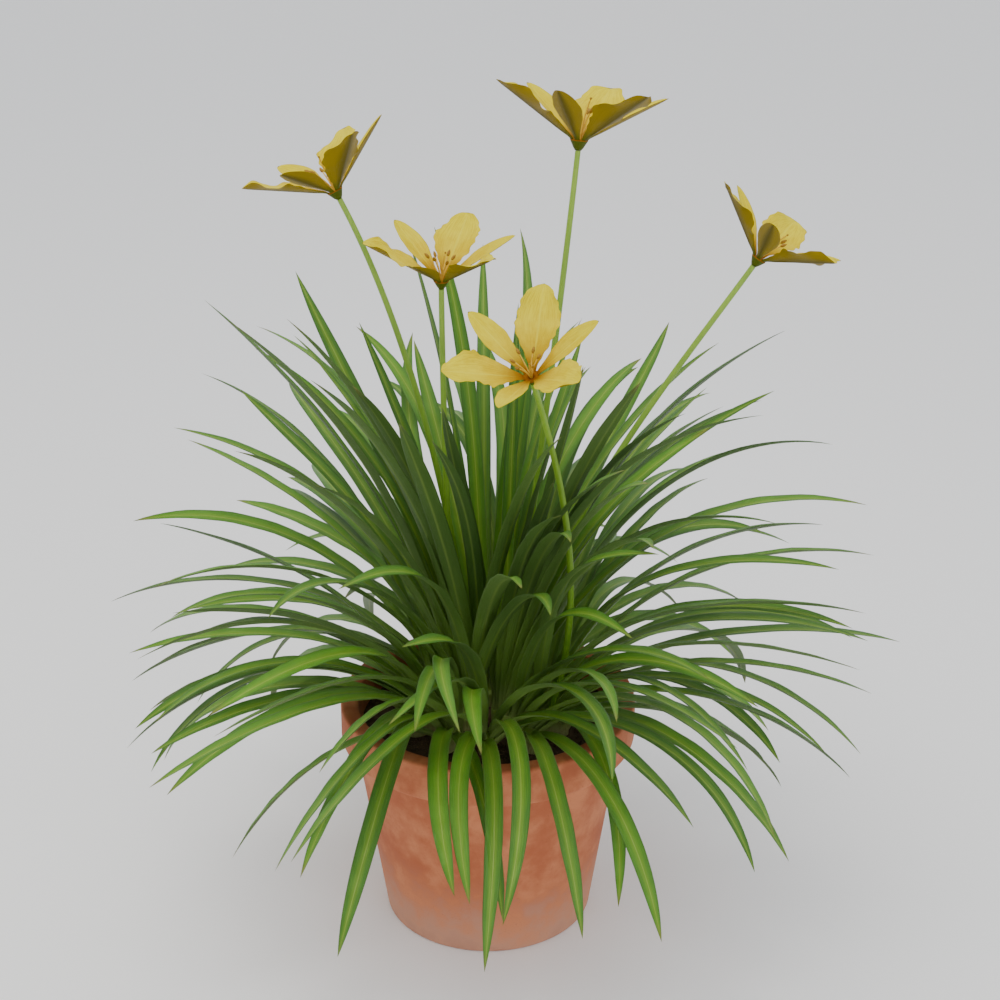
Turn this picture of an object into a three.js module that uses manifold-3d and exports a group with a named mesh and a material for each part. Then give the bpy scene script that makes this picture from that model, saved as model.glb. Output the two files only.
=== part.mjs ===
// A yellow daylily in a plain clay pot. The plant is a clump of leaf fans on a ring of crowns: eleven outer
// fans arch out over the rim, and five inner fans stand up between the flower stems. Each of the five stems
// (scapes) carries one open bloom of three wide petals and three narrow sepals, with its stamens inside.
// Millimetres, +Z up. The origin is the middle of the pot's foot, and the plant is looked at from -Y.
import * as THREE from "three";
import { mergeVertices } from "three/addons/utils/BufferGeometryUtils.js";
import Module from "manifold-3d";

const wasm = await Module();
wasm.setup();

const { clamp, degToRad, lerp, radToDeg, smoothstep } = THREE.MathUtils;
const UP = new THREE.Vector3(0, 0, 1);

// What stands in or on another piece keeps this gap to it.
const CLEARANCE = 0.3;

// The pot: a tapered body under a thicker rim.
const POT = { height: 220, footRadius: 98, rimRadius: 138, rimHeight: 40, rimStep: 7, wall: 9, base: 11 };
const POT_SIDES = 32; // the soil has as many, in line with the pot's

// The soil, mounded a little towards the crown.
const SOIL = { level: 196, mound: 6, rootDepth: 26 };

// The two tiers of fans. A range is given from the innermost leaf of a fan to its outermost one, and
// sections are the steps of a leaf's path at which its blade bends.
const OUTER_FANS = {
  name: "outer_fan", count: 11, firstAzimuth: 8.2, leaves: 11, seed: 3,
  rootNear: 46, rootFar: 82, rootHalfWidth: 8.5, flare: 6,
  launch: [73, 60], end: [4, -60], length: [388, 280], bend: [1, 0.5], reach: 300, spread: 45,
  sections: [0, 6, 13, 20, 28, 36],
};
const INNER_FANS = {
  name: "inner_fan", count: 5, firstAzimuth: 18, leaves: 15, seed: 40,
  rootNear: 9, rootFar: 39, rootHalfWidth: 8.5, flare: 1,
  launch: [86, 75], end: [72, 0], length: [420, 430], bend: [1.5, 1.15], reach: 220, spread: 60,
  sections: [0, 9, 18, 27, 36],
};
const CROWN_RISE = 15; // how far the clasping leaf bases of a fan stand out of the soil
const CROWN_SIDES = 8;

// A leaf: a long folded blade. Its width and fold follow the same rule on every leaf.
const LEAF = { halfWidth: [7.4, 9.6], widest: 0.36, thickness: 1.3, rootFold: 52, openFold: 20, steps: 36 };
const LEAF_TRIES = 400;
const LEAF_GAP = 0.6; // the least space between leaves of two fans, and between a leaf and a stem
const LOWEST_TIP = -90;

// The stems. root is on the soil, rise and top shape the curve above it, lean tilts the bloom (right, back).
const SCAPE = { rootRadius: 3.4, topRadius: 2.4, sides: 6, steps: 8, neck: 110 };
const SCAPES = [
  { root: [-16, 22], rise: [-22, 24, 190], top: [-126, 20, 492], lean: [-28, 8], size: 1.0 },
  { root: [-26, -8], rise: [-36, -22, 150], top: [-38, -42, 432], lean: [0, -4], size: 0.95 },
  { root: [16, 22], rise: [42, 26, 190], top: [78, 36, 530], lean: [6, 11], size: 1.12 },
  { root: [48, -42], rise: [100, -46, 130], top: [38, -138, 384], lean: [-14, -27], size: 0.97 },
  { root: [26, -8], rise: [30, -14, 170], top: [228, -4, 440], lean: [34, 5], size: 0.97 },
];

// A bloom: wide petals and narrow sepals take turns round the throat.
const BLOOM = {
  firstPetal: 70, throatRadius: 7.2, throatDepth: 8, tepalRoot: [3.4, 3], thickness: 1.2, clearRadius: 84,
};
const PETAL = { length: 80, halfWidth: 20, claw: 0.1, cup: 0.3, ruffle: 3.2, waves: 2, rows: 6, columns: 4 };
const SEPAL = { length: 77, halfWidth: 11, claw: 0.16, cup: 0.34, ruffle: 0, waves: 0, rows: 4, columns: 2 };
const TEPAL_OPENING = { throat: 68, open: 31, opensBy: 0.16 };
const STAMENS = { count: 6, length: 28, radius: 0.75, antherRadius: 1.5, styleLength: 36 };

const materials = {
  clay: new THREE.MeshStandardMaterial({ color: 0xb5673f, roughness: 0.85, metalness: 0 }),
  soil: new THREE.MeshStandardMaterial({ color: 0x3a2a1e, roughness: 0.95, metalness: 0 }),
  leaf: new THREE.MeshStandardMaterial({ color: 0x4f7d2b, roughness: 0.5, metalness: 0 }),
  stem: new THREE.MeshStandardMaterial({ color: 0x7f9f45, roughness: 0.5, metalness: 0 }),
  petal: new THREE.MeshStandardMaterial({ color: 0xf2cf35, roughness: 0.55, metalness: 0 }),
  stamen: new THREE.MeshStandardMaterial({ color: 0xb98a1c, roughness: 0.6, metalness: 0 }),
};

// Even draws between two values, the same ones each time for a seed.
function seededDraws(seed) {
  let state = (seed * 2654435761) % 4294967296;
  return (low, high) => {
    state = (state * 1664525 + 1013904223) % 4294967296;
    return lerp(low, high, state / 4294967296);
  };
}

// A closed mesh from its corners and its triangles, leaving out triangles that have shrunk to a line.
function closedMesh(corners, triangles) {
  const real = triangles.filter(([a, b, c]) => a !== b && b !== c && c !== a);
  const geometry = new THREE.BufferGeometry().setFromPoints(corners);
  geometry.setIndex(real.flat());
  return geometry;
}

// A solid through rings of corners, each ring an array of points. Neighbouring sides split their quads
// towards each other's shared edge, so both faces of a thin blade are split alike.
function loft(rings, tip) {
  const count = rings[0].length;
  const corners = rings.flat();
  const triangles = [];
  for (let ring = 0; ring + 1 < rings.length; ring++) {
    for (let k = 0; k < count; k++) {
      const next = (k + 1) % count;
      const [a, b, c, d] = [k, next, next + count, k + count].map((i) => i + ring * count);
      triangles.push(...(k % 2 ? [[a, b, d], [b, c, d]] : [[a, b, c], [a, c, d]]));
    }
  }
  const last = (rings.length - 1) * count;
  if (tip) corners.push(tip);
  for (let k = 1; k + 1 < count; k++) {
    triangles.push([0, k + 1, k]);
    if (!tip) triangles.push([last, last + k, last + k + 1]);
  }
  if (tip) {
    for (let k = 0; k < count; k++) triangles.push([last + k, last + ((k + 1) % count), corners.length - 1]);
  }
  return closedMesh(corners, triangles);
}

function solid(geometry) {
  const bare = geometry.clone();
  bare.deleteAttribute("normal");
  bare.deleteAttribute("uv");
  const merged = mergeVertices(bare, 1e-3);
  return new wasm.Manifold(new wasm.Mesh({
    numProp: 3,
    vertProperties: merged.attributes.position.array,
    triVerts: new Uint32Array(merged.index.array),
  }));
}

function joined(geometries) {
  return geometries.map(solid).reduce((whole, part) => whole.add(part));
}

function namedMesh(name, shape, material) {
  const { vertProperties, triVerts } = shape.getMesh();
  const geometry = new THREE.BufferGeometry();
  geometry.setAttribute("position", new THREE.BufferAttribute(vertProperties, 3));
  geometry.setIndex(new THREE.BufferAttribute(triVerts, 1));
  geometry.computeVertexNormals();
  const mesh = new THREE.Mesh(geometry, material);
  mesh.name = name;
  return mesh;
}

// A solid of revolution about Z from [radius, height] pairs.
function turned(profile, sides) {
  const outline = profile.map(([radius, height]) => new THREE.Vector2(radius, height));
  return new THREE.LatheGeometry(outline, sides).rotateX(Math.PI / 2);
}

// An upright plain pin, from one height to another.
function pin(x, y, low, high, radius, sides) {
  const geometry = new THREE.CylinderGeometry(radius, radius, high - low, sides).rotateX(Math.PI / 2);
  return geometry.translate(x, y, (low + high) / 2);
}

// Radius of the pot's outer side below the rim, at a height.
function potSide(height) {
  return lerp(POT.footRadius, POT.rimRadius - POT.rimStep, height / POT.height);
}

function makePot() {
  const { height, rimRadius, rimHeight, wall, base, footRadius } = POT;
  const underRim = height - rimHeight;
  return solid(turned([
    [0, 0], [footRadius, 0], [potSide(underRim), underRim], [rimRadius, underRim + 4],
    [rimRadius, height - 3], [rimRadius - 3, height], [potSide(height) - wall, height],
    [potSide(base) - wall, base], [0, base],
  ], POT_SIDES));
}

function soilHeight(radius) {
  const edge = potSide(SOIL.level) - POT.wall;
  return SOIL.level + SOIL.mound * (1 - (radius / edge) ** 2);
}

// The soil fills the pot, with a plain hole for each fan's root and each stem's foot.
function makeSoil(roots) {
  const radiusAt = (height) => potSide(height) - POT.wall - CLEARANCE;
  const [floor, edge] = [POT.base + CLEARANCE, radiusAt(SOIL.level)];
  const rings = [1, 0].map((share) => [edge * share, soilHeight(edge * share)]);
  const body = turned([[0, floor], [radiusAt(floor) - 1, floor], ...rings], POT_SIDES);
  return roots.reduce((soil, root) => soil.subtract(solid(root)), solid(body));
}

// Everything below works in the plant's own frame, with the top of the soil's mound at height 0.
const CROWN_LEVEL = SOIL.level + SOIL.mound;

function scapeCurve({ root, rise, top, lean }) {
  const axis = bloomAxis(lean);
  const head = new THREE.Vector3(...top);
  return new THREE.CubicBezierCurve3(
    new THREE.Vector3(...root, 0),
    new THREE.Vector3(...rise),
    head.clone().addScaledVector(axis, -SCAPE.neck),
    head,
  );
}

function bloomAxis([right, back]) {
  return new THREE.Vector3(Math.tan(degToRad(right)), Math.tan(degToRad(back)), 1).normalize();
}

// A round section at each step along the stem, thinner towards the bloom. Its foot in the soil is upright.
function makeScape(scape) {
  const curve = scapeCurve(scape);
  const rings = [uprightRing(scape.root, -SOIL.rootDepth, SCAPE.rootRadius)];
  for (let step = 0; step <= SCAPE.steps; step++) {
    const share = step / SCAPE.steps;
    const along = step ? curve.getTangent(share) : UP.clone();
    const right = new THREE.Vector3(0, 1, 0).cross(along).normalize();
    const back = along.clone().cross(right);
    const radius = lerp(SCAPE.rootRadius, SCAPE.topRadius, share);
    rings.push(circle(curve.getPoint(share), right, back, radius, radius, SCAPE.sides));
  }
  return solid(loft(rings));
}

function uprightRing([x, y], height, radius) {
  const [right, back] = [new THREE.Vector3(1, 0, 0), new THREE.Vector3(0, 1, 0)];
  return circle(new THREE.Vector3(x, y, height), right, back, radius, radius, SCAPE.sides);
}

function circle(centre, right, back, across, deep, sides) {
  return Array.from({ length: sides }, (_, k) => {
    const angle = (2 * Math.PI * k) / sides;
    return centre.clone()
      .addScaledVector(right, across * Math.cos(angle))
      .addScaledVector(back, deep * Math.sin(angle));
  });
}

// How wide a leaf is at a share of its length, against its widest.
function leafWidth(share) {
  const swell = 0.62 + 0.38 * Math.sin((Math.PI / 2) * Math.min(1, share / LEAF.widest));
  const past = Math.max(0, (share - LEAF.widest) / (1 - LEAF.widest));
  return swell * (1 - past ** 2.6);
}

function leafFold(share) {
  return degToRad(lerp(LEAF.rootFold, LEAF.openFold, smoothstep(share, 0, 0.25)));
}

// The path of a leaf, step by step: its climb runs from launch to end while its heading veers to one side.
function leafPath(leaf) {
  const path = [];
  const at = leaf.root.clone();
  for (let step = 0; step <= LEAF.steps; step++) {
    const share = step / LEAF.steps;
    const climb = degToRad(lerp(leaf.launch, leaf.end, share ** leaf.bend));
    const heading = degToRad(leaf.heading + leaf.veer * share * share);
    const along = new THREE.Vector3(
      Math.cos(climb) * Math.cos(heading), Math.cos(climb) * Math.sin(heading), Math.sin(climb));
    const level = new THREE.Vector3(Math.sin(heading), -Math.cos(heading), 0);
    const side = level.applyAxisAngle(along, degToRad(leaf.roll * share));
    const face = side.clone().cross(along);
    const half = leaf.halfWidth * leafWidth(share);
    const lifted = at.clone().addScaledVector(face, half * Math.sin(leafFold(share)));
    const reach = half * Math.cos(leafFold(share));
    const [right, left] = [reach, -reach].map((x) => lifted.clone().addScaledVector(side, x));
    path.push({ at: at.clone(), along, side, face, half, left, right });
    at.addScaledVector(along, leaf.length / LEAF.steps);
  }
  return path;
}

// The blade along a path as a row of thin boxes, one a step, straight from one cut section to the next. A
// box has a middle and three half edges: along, across and through the folded blade.
function bladeBoxes(path, sections) {
  const boxes = [];
  for (let step = 0; step < LEAF.steps; step++) {
    const next = sections.findIndex((end) => end > step);
    const [first, last] = [sections[next - 1], sections[next]];
    const share = (step + 0.5 - first) / (last - first);
    const end = path[last];
    const corner = (name) => path[first][name].clone().lerp(last === LEAF.steps ? end.at : end[name], share);
    const [groove, left, right] = ["at", "left", "right"].map(corner);
    const across = right.clone().sub(left).multiplyScalar(0.5);
    const edges = left.clone().add(right).multiplyScalar(0.5);
    const along = end.at.clone().sub(path[first].at).multiplyScalar(0.5 / (last - first));
    const through = across.clone().cross(along).normalize();
    through.multiplyScalar((LEAF.thickness + edges.distanceTo(groove)) / 2);
    boxes.push(box(groove.add(edges).multiplyScalar(0.5), [along, across, through]));
  }
  return boxes;
}

function box(middle, halves) {
  const axes = halves.map((half) => half.clone().normalize());
  return { middle, halves, axes, radius: Math.hypot(...halves.map((half) => half.length())) };
}

// Whether two boxes leave less than a gap between them, seen along each of their edges.
function nearby(one, other, gap) {
  const offset = other.middle.clone().sub(one.middle);
  if (offset.length() > one.radius + other.radius + gap) return false;
  const reach = ({ halves }, axis) => halves.reduce((sum, half) => sum + Math.abs(half.dot(axis)), 0);
  return [...one.axes, ...other.axes].every(
    (axis) => Math.abs(offset.dot(axis)) < reach(one, axis) + reach(other, axis) + gap);
}

// A leaf is kept if it stays over the rim and passes clear of the stems, of the blooms, and of the crowns
// and leaves of the other fans.
function growsClear(boxes, stemPoints, bloomCentres, others) {
  return boxes.every(({ middle, halves }) => overRim(middle) &&
    stemPoints.every((point) => point.distanceTo(middle) > halves[1].length() + SCAPE.rootRadius + LEAF_GAP) &&
    bloomCentres.every(({ point, radius }) => point.distanceTo(middle) > radius)) &&
    !others.some((other) => boxes.some((one) => nearby(one, other, LEAF_GAP)));
}

// Whether two leaves of a fan would cross past the crown that they share.
function crosses(path, other) {
  return path.some((here, step) => step > 1 && other.some((there, otherStep) => {
    const offset = there.at.clone().sub(here.at);
    return otherStep > 1 && Math.abs(offset.dot(here.along)) < 8 && Math.abs(offset.dot(here.face)) < 2.6 &&
      Math.abs(offset.dot(here.side)) < 0.9 * (here.half + there.half);
  }));
}

function overRim({ x, y, z }) {
  const radius = Math.hypot(x, y);
  if (radius > POT.rimRadius + 8) return z > LOWEST_TIP;
  return z > (radius > POT.rimRadius - 18 ? POT.height - CROWN_LEVEL + 6 : 2);
}

// The leaves of a fan stand in two rows, left and right, and each aims for a place on its own row's side of
// the fan, at the tier's reach. What it veers on the way there it makes up for at its root.
function drawLeaf(fan, number, draw) {
  const { tier } = fan;
  const place = (number + draw(0.3, 0.7)) / tier.leaves;
  const row = number % 2 ? 1 : -1;
  const across = row * draw(0.42, 0.52) * tier.rootHalfWidth;
  const out = lerp(tier.rootNear + 4, tier.rootFar - 5, place);
  const turn = degToRad(fan.azimuth);
  const root = new THREE.Vector3(
    out * Math.cos(turn) - across * Math.sin(turn), out * Math.sin(turn) + across * Math.cos(turn), 3);
  const aim = degToRad(fan.azimuth + row * draw(0, tier.spread));
  const goal = new THREE.Vector3(Math.cos(aim), Math.sin(aim), 0).multiplyScalar(tier.reach).sub(root);
  const veer = draw(-40, 40);
  return {
    root,
    heading: radToDeg(Math.atan2(goal.y, goal.x)) - veer / 3,
    veer,
    launch: lerp(...tier.launch, place) + draw(-3, 1),
    end: lerp(...tier.end, place) + draw(-16, 16),
    bend: lerp(...tier.bend, place) * draw(0.85, 1.4),
    length: lerp(...tier.length, place) * draw(0.84, 1.1),
    halfWidth: draw(...LEAF.halfWidth),
    roll: draw(-40, 40),
  };
}

// The leaves of a fan, from the innermost out. A leaf that would meet something is drawn again.
function fanPaths(fan, stemPoints, bloomCentres, others) {
  const draw = seededDraws(fan.seed);
  const paths = [];
  for (let k = 0; k < fan.tier.leaves; k++) {
    for (let tries = 0; tries < LEAF_TRIES; tries++) {
      const path = leafPath(drawLeaf(fan, k, draw));
      const apart = !paths.some((other) => crosses(path, other));
      if (apart && growsClear(bladeBoxes(path, fan.tier.sections), stemPoints, bloomCentres, others)) {
        paths.push(path);
        break;
      }
    }
  }
  return paths;
}

// A blade of four corners a section: the groove, the right edge, the keel and the left edge.
function makeBlade(path, sections) {
  const rings = sections.slice(0, -1).map((step) => {
    const { at, face, left, right } = path[step];
    const half = LEAF.thickness / 2;
    return [at.clone().addScaledVector(face, half), right, at.clone().addScaledVector(face, -half), left];
  });
  return loft(rings, path[LEAF.steps].at);
}

// The clasping leaf bases of a fan: a flattened foot in the soil that spreads outwards a little above it.
function crownRings(fan, grow) {
  const { rootNear, rootFar, rootHalfWidth } = fan.tier;
  const turn = degToRad(fan.azimuth);
  const outward = new THREE.Vector3(Math.cos(turn), Math.sin(turn), 0);
  const across = new THREE.Vector3(-Math.sin(turn), Math.cos(turn), 0);
  return (height, scale, shift) => circle(
    outward.clone().multiplyScalar((rootNear + rootFar) / 2 + shift).setZ(height),
    outward, across,
    scale * ((rootFar - rootNear) / 2) + grow, scale * rootHalfWidth + grow, CROWN_SIDES);
}

function makeFan(fan, paths) {
  const ring = crownRings(fan, 0);
  const crown = loft([
    ring(-SOIL.rootDepth, 0.92, 0), ring(1, 1, 0), ring(CROWN_RISE, 1.06, fan.tier.flare),
  ]);
  return joined([crown, ...paths.map((path) => makeBlade(path, fan.tier.sections))]);
}

function crownBox(fan) {
  const { rootNear, rootFar, rootHalfWidth, flare } = fan.tier;
  const turn = degToRad(fan.azimuth);
  const outward = new THREE.Vector3(Math.cos(turn), Math.sin(turn), 0);
  return box(outward.clone().multiplyScalar((rootNear + rootFar + flare) / 2).setZ(CROWN_RISE / 2), [
    outward.clone().multiplyScalar((rootFar - rootNear + flare) / 2 + 1),
    new THREE.Vector3(-Math.sin(turn), Math.cos(turn), 0).multiplyScalar(1.06 * rootHalfWidth),
    UP.clone().multiplyScalar(CROWN_RISE / 2),
  ]);
}

function fanHole(fan) {
  const ring = crownRings(fan, CLEARANCE);
  return loft([ring(-SOIL.rootDepth - CLEARANCE, 1, 0), ring(SOIL.mound, 1, 0)]);
}

function scapeHole({ root }) {
  const radius = SCAPE.rootRadius + CLEARANCE;
  return loft([-SOIL.rootDepth - CLEARANCE, SOIL.mound].map((height) => uprightRing(root, height, radius)));
}

// How wide a petal or sepal is at a share of its length: a narrow claw, a full blade and a drawn-out tip.
function tepalWidth(share, claw) {
  const blade = lerp(claw, 1, smoothstep(share, 0, 0.6));
  const tip = Math.sqrt(Math.max(0, 1 - clamp((share - 0.55) / 0.45, 0, 1) ** 2.4));
  return blade * tip;
}

// A point of a petal or sepal: share runs from the throat to the tip and across from edge to edge.
function tepalPoint(tepal, share, across, phase) {
  const steps = 24;
  const centre = new THREE.Vector2(...BLOOM.tepalRoot);
  const climbAt = (s) => degToRad(lerp(TEPAL_OPENING.throat, TEPAL_OPENING.open,
    smoothstep(s, 0, TEPAL_OPENING.opensBy)));
  for (let k = 0; k < steps; k++) {
    const climb = climbAt(((k + 0.5) / steps) * share);
    const stride = (tepal.length * share) / steps;
    centre.add(new THREE.Vector2(Math.cos(climb) * stride, Math.sin(climb) * stride));
  }
  const half = tepal.halfWidth * tepalWidth(share, tepal.claw);
  const wave = Math.sin(2 * Math.PI * tepal.waves * share + phase);
  const ruffle = tepal.ruffle * wave * Math.abs(across) ** 3 * smoothstep(share, 0.3, 0.6);
  const lift = tepal.cup * half * Math.abs(across) ** 1.4 + ruffle;
  const climb = climbAt(share);
  const normal = new THREE.Vector2(-Math.sin(climb), Math.cos(climb));
  return {
    at: new THREE.Vector3(centre.x + normal.x * lift, across * half, centre.y + normal.y * lift),
    normal: new THREE.Vector3(normal.x, 0, normal.y),
  };
}

// A thin curved sheet with both faces split alike, meeting in a sharp edge along its sides and its tip.
function makeTepal(tepal, phase) {
  const { rows, columns } = tepal;
  const corners = [];
  const index = new Map();
  const corner = (row, column, face) => {
    const onEdge = column === 0 || column === columns || row === rows;
    const key = row === rows ? "tip" : `${row} ${column} ${onEdge ? 0 : face}`;
    if (!index.has(key)) {
      const across = row === rows ? 0 : (2 * column) / columns - 1;
      const { at, normal } = tepalPoint(tepal, row / rows, across, phase);
      index.set(key, corners.length);
      corners.push(at.addScaledVector(normal, onEdge ? 0 : (face * BLOOM.thickness) / 2));
    }
    return index.get(key);
  };
  const triangles = [];
  const quad = (a, b, c, d) => triangles.push([a, b, c], [a, c, d]);
  for (let column = 0; column < columns; column++) {
    for (let row = 0; row < rows; row++) {
      const places = [[row, column], [row + 1, column], [row + 1, column + 1], [row, column + 1]];
      const [a, b, c, d] = places.map(([r, k]) => corner(r, k, 1));
      quad(a, b, c, d);
      const [e, f, g, h] = places.map(([r, k]) => corner(r, k, -1));
      triangles.push([e, g, f], [e, h, g]);
    }
    quad(corner(0, column, 1), corner(0, column + 1, 1), corner(0, column + 1, -1), corner(0, column, -1));
  }
  return closedMesh(corners, triangles);
}

// Six tepals joined in a short solid throat. A dimple in the throat takes the stamens.
function makeBloom(scape, number) {
  const { throatRadius, throatDepth } = BLOOM;
  const throat = turned([
    [0, 0], [SCAPE.topRadius, 0], [throatRadius, throatDepth], [2.4, throatDepth],
    [2.3, throatDepth - 3], [0, throatDepth - 3],
  ], 8);
  const tepals = [];
  for (let k = 0; k < 6; k++) {
    const kind = k % 2 ? SEPAL : PETAL;
    const tepal = makeTepal(kind, 1.3 * k + number);
    tepals.push(tepal.rotateZ(degToRad(BLOOM.firstPetal + 60 * k)));
  }
  return placed(joined([throat, ...tepals]), scape);
}

// Stamens and style: slender threads from one small foot in the throat, curving up to their tips.
function makeStamens(scape, number) {
  const draw = seededDraws(90 + number);
  const { throatDepth } = BLOOM;
  const floor = throatDepth - 3 + CLEARANCE;
  const foot = pin(0, 0, floor, floor + 2.5, 1.8, 6);
  const threads = [];
  for (let k = 0; k < STAMENS.count; k++) {
    const length = STAMENS.length * draw(0.88, 1.1);
    threads.push(makeThread(k * 60 + draw(-12, 12), length, floor, STAMENS.antherRadius));
  }
  threads.push(makeThread(285, STAMENS.styleLength, floor, STAMENS.radius));
  return placed(joined([foot, ...threads]), scape);
}

function makeThread(azimuth, length, floor, tipRadius) {
  const curve = new THREE.QuadraticBezierCurve3(
    new THREE.Vector3(0.5, 0, floor + 1),
    new THREE.Vector3(length * 0.12, 0, floor + length * 0.55),
    new THREE.Vector3(length * 0.5, 0, floor + length));
  const ring = (share, radius) => {
    const back = curve.getTangent(share).cross(new THREE.Vector3(0, 1, 0));
    return circle(curve.getPoint(share), new THREE.Vector3(0, 1, 0), back, radius, radius, 3);
  };
  const { radius } = STAMENS;
  const rings = [ring(0, radius), ring(0.6, radius), ring(0.9, tipRadius)];
  return loft(rings, curve.getPoint(1)).rotateZ(degToRad(azimuth));
}

// Turns a bloom's part from its own upright frame to the end of its stem.
function placed(shape, { top, lean, size }) {
  const turn = new THREE.Quaternion().setFromUnitVectors(UP, bloomAxis(lean));
  const base = new THREE.Vector3(...top).addScaledVector(bloomAxis(lean), CLEARANCE);
  const place = new THREE.Matrix4().compose(base, turn, new THREE.Vector3(size, size, size));
  return shape.transform(place.elements);
}

const plant = new THREE.Group();
plant.position.z = CROWN_LEVEL;

const stemPoints = SCAPES.flatMap((scape) => scapeCurve(scape).getPoints(100));
const bloomCentres = SCAPES.map(({ top, lean, size }) => ({
  point: new THREE.Vector3(...top).addScaledVector(bloomAxis(lean), 30 * size),
  radius: BLOOM.clearRadius * size,
}));

const fans = [INNER_FANS, OUTER_FANS].flatMap((tier) => Array.from({ length: tier.count }, (_, k) => ({
  tier,
  name: `${tier.name}_${String(k + 1).padStart(2, "0")}`,
  azimuth: tier.firstAzimuth + (k * 360) / tier.count,
  seed: tier.seed + k,
})));

const grown = new Map(fans.map((fan) => [fan, [crownBox(fan)]]));
for (const fan of fans) {
  const others = fans.filter((other) => other !== fan).flatMap((other) => grown.get(other));
  const paths = fanPaths(fan, stemPoints, bloomCentres, others);
  grown.get(fan).push(...paths.flatMap((path) => bladeBoxes(path, fan.tier.sections)));
  plant.add(namedMesh(fan.name, makeFan(fan, paths), materials.leaf));
}
SCAPES.forEach((scape, k) => {
  plant.add(namedMesh(`scape_${k + 1}`, makeScape(scape), materials.stem));
  plant.add(namedMesh(`bloom_${k + 1}`, makeBloom(scape, k), materials.petal));
  plant.add(namedMesh(`stamens_${k + 1}`, makeStamens(scape, k), materials.stamen));
});

const roots = [...fans.map(fanHole), ...SCAPES.map(scapeHole)].map((root) => root.translate(0, 0, CROWN_LEVEL));
const daylily = new THREE.Group();
daylily.add(namedMesh("pot", makePot(), materials.clay));
daylily.add(namedMesh("soil", makeSoil(roots), materials.soil));
daylily.add(plant);

export default daylily;
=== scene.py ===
import math

import bmesh
import bpy
import numpy as np
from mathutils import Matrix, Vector


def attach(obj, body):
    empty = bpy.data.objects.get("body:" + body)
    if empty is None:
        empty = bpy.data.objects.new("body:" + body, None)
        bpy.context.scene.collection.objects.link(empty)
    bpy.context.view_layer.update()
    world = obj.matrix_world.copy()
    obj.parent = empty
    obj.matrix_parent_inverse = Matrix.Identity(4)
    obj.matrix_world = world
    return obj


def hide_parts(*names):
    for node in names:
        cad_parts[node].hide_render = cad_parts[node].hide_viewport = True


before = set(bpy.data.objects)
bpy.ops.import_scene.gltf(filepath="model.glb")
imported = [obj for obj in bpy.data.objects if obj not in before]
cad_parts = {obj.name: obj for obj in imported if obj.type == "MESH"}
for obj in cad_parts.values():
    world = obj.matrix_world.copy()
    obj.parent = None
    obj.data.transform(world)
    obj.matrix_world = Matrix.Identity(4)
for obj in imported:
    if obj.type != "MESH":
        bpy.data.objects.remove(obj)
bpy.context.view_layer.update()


# The set: a plain pale floor that runs up into the backdrop, and a camera in front of the plant, looking
# down a little on the leaves. A wide soft light hangs overhead and a weaker one fills the front.
CAMERA = {"aim": (0.0113, 0.0, 0.421), "distance": 1.9, "elevation": 24.0, "lens": 76.0, "sensor": 36.0}
BACKDROP = {"half_width": 18.0, "front": -9.0, "back": 4.5, "bend": 1.5, "bend_turn": 1.5, "bend_steps": 16,
            "top": (6.2, 7.0)}
LIGHTS = [
    {"name": "overhead", "at": (-0.5, -0.5, 2.6), "size": 2.0, "power": 34.0, "colour": "#fffaf0"},
    {"name": "front_fill", "at": (1.3, -2.2, 1.3), "size": 1.6, "power": 12.0, "colour": "#f2f6ff"},
]
LIT_POINT = (0.0, 0.0, 0.4)


def paint(hex_colour):
    """A colour as the eye sees it, turned into the linear light values that shaders use."""
    parts = [int(hex_colour[k:k + 2], 16) / 255 for k in (1, 3, 5)]
    linear = [p / 12.92 if p <= 0.04045 else ((p + 0.055) / 1.055) ** 2.4 for p in parts]
    return (*linear, 1.0)


def plain_finish(name, colour, roughness):
    """A material of one colour, whose Principled BSDF further nodes may feed."""
    material = bpy.data.materials.new(name)
    material.use_nodes = True
    shader = material.node_tree.nodes["Principled BSDF"]
    shader.inputs["Base Color"].default_value = paint(colour)
    shader.inputs["Roughness"].default_value = roughness
    return material


def piece(name, mesh, *materials):
    made = bpy.data.objects.new(name, mesh)
    bpy.context.scene.collection.objects.link(made)
    for material in materials:
        mesh.materials.append(material)
    mesh.polygons.foreach_set("use_smooth", [True] * len(mesh.polygons))
    return made


bend = BACKDROP["bend"]
backdrop_bend = [(BACKDROP["back"] + bend * math.sin(turn), bend * (1 - math.cos(turn)))
                 for turn in np.linspace(0, BACKDROP["bend_turn"], BACKDROP["bend_steps"])]
backdrop_line = [(BACKDROP["front"], 0.0), *backdrop_bend, BACKDROP["top"]]
backdrop_mesh = bpy.data.meshes.new("backdrop")
backdrop_mesh.from_pydata(
    [(way * BACKDROP["half_width"], y, z) for y, z in backdrop_line for way in (-1, 1)], [],
    [(2 * k, 2 * k + 1, 2 * k + 3, 2 * k + 2) for k in range(len(backdrop_line) - 1)])
piece("backdrop", backdrop_mesh, plain_finish("backdrop_paper", "#fcfcfa", 0.9))

world = bpy.data.worlds.new("studio")
world.use_nodes = True
world.node_tree.nodes["Background"].inputs["Color"].default_value = paint("#f7f9ff")
world.node_tree.nodes["Background"].inputs["Strength"].default_value = 1.0
bpy.context.scene.world = world

for light in LIGHTS:
    lamp = bpy.data.lights.new(light["name"], "AREA")
    lamp.shape = "DISK"
    lamp.size = light["size"]
    lamp.energy = light["power"]
    lamp.color = paint(light["colour"])[:3]
    stand = bpy.data.objects.new(light["name"], lamp)
    stand.location = light["at"]
    stand.rotation_euler = (Vector(LIT_POINT) - Vector(light["at"])).to_track_quat("-Z", "Y").to_euler()
    bpy.context.scene.collection.objects.link(stand)

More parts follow.
